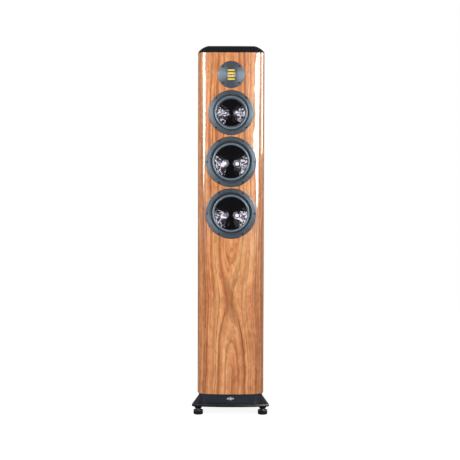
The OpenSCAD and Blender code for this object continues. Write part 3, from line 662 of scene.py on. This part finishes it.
def make_base_plate():
    """The base plate with the chamfer round its upper edge, cut from a copy of the CAD shape."""
    cut = bmesh.new()
    cut.from_mesh(NODES["base_plate"].data)
    bmesh.ops.remove_doubles(cut, verts=cut.verts, dist=1e-6)
    bmesh.ops.dissolve_limit(cut, angle_limit=math.radians(1), verts=cut.verts, edges=cut.edges)
    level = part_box("base_plate")[1][2] - 1e-5
    top = [f for f in cut.faces if f.normal.z > 0.99 and f.calc_center_median().z > level]
    points = [v.co.copy() for f in top for v in f.verts]
    rim = list({e for f in top for e in f.edges if on_outline(e, points)})
    rim.sort(key=lambda e: e.index)
    bmesh.ops.bevel(cut, geom=rim, offset=PLATE_CHAMFER, offset_type="OFFSET", segments=1, affect="EDGES",
                    profile=0.5)
    mesh = bpy.data.meshes.new("chamfered_base_plate")
    cut.to_mesh(mesh)
    cut.free()
    piece = bpy.data.objects.new("chamfered_base_plate", mesh)
    bpy.context.scene.collection.objects.link(piece)
    mesh.materials.clear()
    mesh.materials.append(FINISHES["plate_black"])
    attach(piece, "cabinet")
    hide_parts("base_plate")


def on_outline(edge, points):
    """Whether an edge lies on the plate's outline, which is convex: all points are on one side of it."""
    a, b = (v.co for v in edge.verts)
    sides = [(b.x - a.x) * (p.y - a.y) - (b.y - a.y) * (p.x - a.x) for p in points]
    return min(sides) > -OUTLINE_SLACK or max(sides) < OUTLINE_SLACK


make_base_plate()

# ---------------------------------------------------------------------------------- light, floor and camera
# the point in each front corner of the cabinet from which the softboxes' azimuths and distances are measured
CORNER_X = 0.085
CORNER_Y = -0.145

# the outlines of the softboxes, as (azimuth, height)
LEFT_STRIP = [(-46, 1.35), (-47, 1.15), (-50, 1.0), (-54, 0.85), (-60, 0.73), (-66, 0.85), (-70, 1.05),
              (-73, 1.3), (-73, 2.1), (-46, 2.1)]
RIGHT_WEDGE = [(43, 1.37), (24.5, 1.305), (20, 1.23), (29.5, 1.155), (32.5, 1.11), (21, 1.05), (21, 0.965),
               (24.5, 0.92), (32.5, 0.853), (40, 0.786), (47.5, 0.71), (53, 0.685), (58, 0.74), (68, 1.05),
               (76, 1.37), (77, 2.1), (47, 2.0)]
REAR_STRIP = [(100, 0.85), (121, 0.85), (121, 1.7), (100, 1.7)]
LEFT_HALO = [(-20, 0.5), (-88, 0.5), (-88, 2.9), (-20, 2.9)]
RIGHT_HALO = [(12, 0.5), (88, 0.5), (88, 2.9), (12, 2.9)]

# the bars that only the dishes reflect: from and to azimuth, and from and to height
DISH_BARS = [(57, 61), (66, 70), (75, 80)]
DISH_ROWS = [(0.55, 1.0), (1.15, 1.6), (1.9, 2.6)]

# steps along each side of a softbox's outline, and how far out from its middle its rings lie, as shares
OUTLINE_STEPS = 8
FAN_SHARES = (1.0, 0.75, 0.5, 0.25)


def around(azimuth, distance, height):
    """A point seen from the front corner on that side. azimuth is in degrees from straight ahead to +X."""
    a = math.radians(azimuth)
    x = math.copysign(CORNER_X, azimuth) + distance * math.sin(a)
    return (x, CORNER_Y - distance * math.cos(a), height)


def fan(outline, distance, first):
    """The mesh of one curved panel: rings that shrink to its middle. first is its first point's number."""
    rim = []
    for (a0, h0), (a1, h1) in zip(outline, outline[1:] + outline[:1]):
        for k in range(OUTLINE_STEPS):
            rim.append((a0 + (a1 - a0) * k / OUTLINE_STEPS, h0 + (h1 - h0) * k / OUTLINE_STEPS))
    mid_a = sum(a for a, h in rim) / len(rim)
    mid_h = sum(h for a, h in rim) / len(rim)
    vertices = []
    for share in FAN_SHARES:
        ring = [(mid_a + (a - mid_a) * share, mid_h + (h - mid_h) * share) for a, h in rim]
        vertices += [around(a, distance, h) for a, h in ring]
    vertices.append(around(mid_a, distance, mid_h))
    count = len(rim)
    last = first + (len(FAN_SHARES) - 1) * count
    faces = []
    for k in range(count):
        m = (k + 1) % count
        for low in range(first, last, count):
            high = low + count
            faces.append([low + k, low + m, high + m, high + k])
        faces.append([last + k, last + m, last + count])
    return vertices, faces


def glow(name, strength):
    """A material that shines without hiding what is behind it."""
    made = bpy.data.materials.new(name)
    made.use_nodes = True
    tree = made.node_tree
    tree.nodes.remove(tree.nodes["Principled BSDF"])
    emission = tree.nodes.new("ShaderNodeEmission")
    emission.inputs["Strength"].default_value = strength
    clear = tree.nodes.new("ShaderNodeBsdfTransparent")
    both = tree.nodes.new("ShaderNodeAddShader")
    tree.links.new(clear.outputs[0], both.inputs[0])
    tree.links.new(emission.outputs[0], both.inputs[1])
    tree.links.new(both.outputs[0], tree.nodes["Material Output"].inputs[0])
    return made


def card(name, distance, outlines, strength, dishes_only=False):
    """Curved softboxes that show only in reflections, either in the dishes or in everything but them."""
    vertices, faces = [], []
    for outline in outlines:
        more_vertices, more_faces = fan(outline, distance, len(vertices))
        vertices += more_vertices
        faces += more_faces
    mesh = bpy.data.meshes.new(name)
    mesh.from_pydata(vertices, [], faces)
    softbox = bpy.data.objects.new(name, mesh)
    bpy.context.scene.collection.objects.link(softbox)
    mesh.materials.append(glow(name, strength))
    softbox.visible_camera = False
    softbox.visible_shadow = False
    softbox.visible_diffuse = False
    dishes = [bpy.data.objects[driver + "_crystal_cone"] for driver in DRIVERS]
    link_light(softbox, dishes, "INCLUDE" if dishes_only else "EXCLUDE")


def link_light(light, pieces, state):
    """Lets a light shine on these pieces only (INCLUDE), or on everything but them (EXCLUDE)."""
    group = bpy.data.collections.new(light.name + "_receivers")
    light.light_linking.receiver_collection = group
    for piece in pieces:
        group.objects.link(piece)
    for member in group.collection_objects:
        member.light_linking.link_state = state


def lamp(name, place, aim, size, power, glossy=False):
    """A large soft lamp for even light. It shows in reflections only if it is glossy."""
    data = bpy.data.lights.new(name, "AREA")
    data.shape = "RECTANGLE"
    data.size, data.size_y = size
    data.energy = power
    made = bpy.data.objects.new(name, data)
    bpy.context.scene.collection.objects.link(made)
    made.location = place
    made.rotation_euler = (Vector(aim) - Vector(place)).to_track_quat("-Z", "Y").to_euler()
    made.visible_camera = False
    made.visible_glossy = glossy
    return made


def panel(side, near, far, low, high):
    """A four-cornered outline on one side of the speaker: -1 is the left, 1 the right."""
    return [(side * near, low), (side * far, low), (side * far, high), (side * near, high)]


def studio():
    """The lamps, then the softboxes of the lacquer and metals, then those of the crystal dishes."""
    lamp("key_left", (-2.2, -2.2, 1.7), aim=(0, 0, 0.7), size=(1.2, 1.8), power=62)
    lamp("key_right", (2.2, -2.4, 1.7), aim=(0, 0, 0.7), size=(1.2, 1.8), power=62)
    lamp("fill_rear", (0.6, 3.0, 2.4), aim=(0, 0, 0.6), size=(2.5, 2.0), power=45)
    glint = lamp("base_glint", (0, -0.75, 2.4), aim=(0, -0.15, 0.03), size=(1.2, 0.6), power=9, glossy=True)
    front_pads = [NODES["foot_pad_front_left"], NODES["foot_pad_front_right"]]
    link_light(glint, [bpy.data.objects["chamfered_base_plate"]] + front_pads, "INCLUDE")
    card("softbox_left", 1.6, [LEFT_STRIP], strength=22)
    card("softbox_right", 1.6, [RIGHT_WEDGE], strength=22)
    card("strip_right", 1.6, [REAR_STRIP], strength=14)
    card("halo_left", 2.3, [LEFT_HALO], strength=0.9)
    card("halo_right", 2.3, [RIGHT_HALO], strength=0.9)
    for side, where in ((-1, "left"), (1, "right")):
        panels = [panel(side, 40, 51, 0.98, 1.42)]
        for near, far in DISH_BARS:
            panels += [panel(side, near, far, low, high) for low, high in DISH_ROWS]
        card("dish_bars_" + where, 1.4, panels, strength=28, dishes_only=True)
        card("dish_halo_" + where, 1.5, [panel(side, 22, 84, 0.3, 2.7)], strength=1.0, dishes_only=True)
        card("dish_glow_" + where, 1.45, [panel(side, 30, 56, 0.75, 1.65)], strength=5, dishes_only=True)


# how bright the world is as a light, how bright the floor's own glow looks, and the floor's radius and points
WORLD_LIGHT = 0.12
FLOOR_GLOW = 0.92
FLOOR_RADIUS = 2.4
FLOOR_POINTS = 96


def backdrop():
    """A world that looks white but lights the speaker only a little."""
    world = bpy.data.worlds.new("studio")
    bpy.context.scene.world = world
    world.use_nodes = True
    tree = world.node_tree
    path = tree.nodes.new("ShaderNodeLightPath")
    level = tree.nodes.new("ShaderNodeMapRange")
    level.inputs["To Min"].default_value = WORLD_LIGHT
    level.inputs["To Max"].default_value = 1.0
    tree.links.new(path.outputs["Is Camera Ray"], level.inputs["Value"])
    back = tree.nodes["Background"]
    back.inputs["Color"].default_value = (1, 1, 1, 1)
    tree.links.new(level.outputs[0], back.inputs["Strength"])


def floor():
    """A round sheet of pale paper that glows to the camera, so that it meets the white world."""
    mesh = bpy.data.meshes.new("floor")
    turns = np.linspace(0, 2 * math.pi, FLOOR_POINTS + 1)[:-1]
    ring = [(FLOOR_RADIUS * math.cos(a), FLOOR_RADIUS * math.sin(a), 0) for a in turns]
    mesh.from_pydata(ring, [], [list(range(FLOOR_POINTS))])
    ground = bpy.data.objects.new("floor", mesh)
    bpy.context.scene.collection.objects.link(ground)
    paper = Finish("floor_paper", Roughness=0.9, Specular_IOR_Level=0.0, Emission_Color=(1, 1, 1, 1))
    paper.set(Base_Color=(0.22, 0.22, 0.22, 1))
    seen = paper.node("ShaderNodeLightPath").outputs["Is Camera Ray"]
    paper.set(Emission_Strength=paper.times(seen, FLOOR_GLOW))
    mesh.materials.append(paper.material)


# the camera, fitted to the photograph's view: focal length and sensor width in millimetres, place in metres,
# and how many degrees it looks down and is rolled
FOCAL_LENGTH = 156.52
SENSOR_WIDTH = 36
CAMERA_PLACE = (-0.003, -7.007, 1.409)
CAMERA_DOWN = 6.357
CAMERA_ROLL = 0.15


def camera():
    data = bpy.data.cameras.new("camera")
    data.sensor_width = SENSOR_WIDTH
    data.lens = FOCAL_LENGTH
    data.clip_end = 100
    eye = bpy.data.objects.new("camera", data)
    bpy.context.scene.collection.objects.link(eye)
    down = Euler((math.radians(90 - CAMERA_DOWN), 0, 0)).to_matrix().to_4x4()
    turn = down @ Matrix.Rotation(math.radians(CAMERA_ROLL), 4, "Z")
    eye.matrix_world = Matrix.Translation(CAMERA_PLACE) @ turn
    bpy.context.scene.camera = eye


camera()
studio()
backdrop()
floor()
bpy.context.scene.view_settings.view_transform = "Standard"
bpy.context.scene.view_settings.look = "None"
